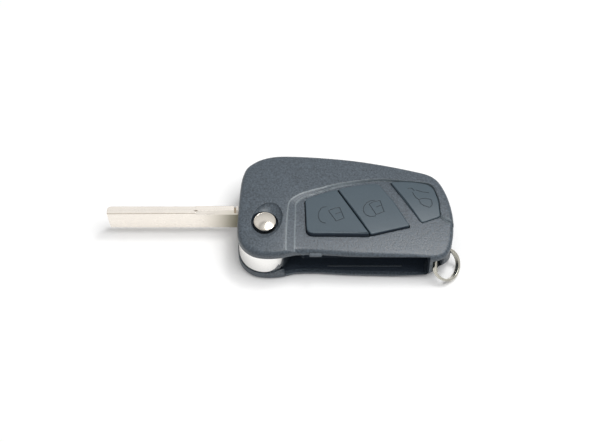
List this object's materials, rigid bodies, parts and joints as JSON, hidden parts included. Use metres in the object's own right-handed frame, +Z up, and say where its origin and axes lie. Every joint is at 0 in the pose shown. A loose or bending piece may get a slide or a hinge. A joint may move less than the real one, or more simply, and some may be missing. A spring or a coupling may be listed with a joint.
{
  "type": "car remote key",
  "caption": "Folding car remote key: split case with push buttons, a round release button, a chromed hub that swings the flat steel blade into its side slot, and a split ring.",
  "frame": {"origin": "where the pivot axis of the blade meets the flat underside", "axes": "+X along the case from the pivot to the tail with the ring, +Y to the wide closed side, +Z up through the button side; the open blade points to -X"},
  "size_m": [0.1192, 0.0428, 0.0175],
  "materials": {
    "case_plastic": "fine-textured dark blue-grey moulding",
    "cap_plastic": "smooth dark blue-grey moulding",
    "mat_rubber": "silicone",
    "board": "green solder mask",
    "contact_metal": "nickel-plated spring steel",
    "chip_plastic": "moulded epoxy",
    "cell_steel": "stainless can",
    "hub_chrome": "bright chrome plating",
    "blade_steel": "bright nickel-plated steel",
    "button_nickel": "satin nickel plating",
    "screw_steel": "zinc-plated steel",
    "ring_steel": "nickel-plated spring steel"
  },
  "bodies": {
    "case": {"bottom_shell": "case_plastic", "top_shell": "case_plastic", "keypad_mat": "mat_rubber", "circuit_board": "board", "unlock_switch": "contact_metal", "lock_switch": "contact_metal", "boot_switch": "contact_metal", "controller_chip": "chip_plastic", "radio_crystal": "contact_metal", "transponder_chip": "chip_plastic", "coin_cell": "cell_steel", "battery_clip": "contact_metal", "negative_contact": "contact_metal", "nose_screw": "screw_steel", "tail_screw": "screw_steel", "flip_spring": "screw_steel"},
    "blade": {"blade_hub": "hub_chrome", "key_blade": "blade_steel", "blade_pin": "screw_steel"},
    "release": {"release_button": "button_nickel"},
    "unlock": {"unlock_button": "cap_plastic"},
    "lock": {"lock_button": "cap_plastic"},
    "boot": {"boot_button": "cap_plastic"},
    "ring": {"split_ring": "ring_steel"}
  },
  "joints": [
    {"name": "blade_flip", "type": "hinge", "parent": "case", "child": "blade", "pos_m": [0, 0, 0.008], "axis": [0, 0, 1], "range_deg": [0, 180], "stiffness_Nm_per_rad": 0.003, "springref_deg": -114.59},
    {"name": "release_press", "type": "slide", "parent": "case", "child": "release", "axis": [0, 0, -1], "range_m": [0, 0.002], "stiffness_N_per_m": 1000, "springref_m": -0.001, "deforming": ["flip_spring"]},
    {"name": "unlock_press", "type": "slide", "parent": "case", "child": "unlock", "axis": [0, 0, -1], "range_m": [0, 0.0004], "stiffness_N_per_m": 300, "springref_m": -0.001},
    {"name": "lock_press", "type": "slide", "parent": "case", "child": "lock", "axis": [0, 0, -1], "range_m": [0, 0.0004], "stiffness_N_per_m": 300, "springref_m": -0.001},
    {"name": "boot_press", "type": "slide", "parent": "case", "child": "boot", "axis": [0, 0, -1], "range_m": [0, 0.0004], "stiffness_N_per_m": 300, "springref_m": -0.001},
    {"name": "ring_swing", "type": "hinge", "parent": "case", "child": "ring", "pos_m": [0.05792, -0.00756, 0.00848], "axis": [-0.6225, -0.7826, 0], "range_deg": [0, 40]}
  ]
}
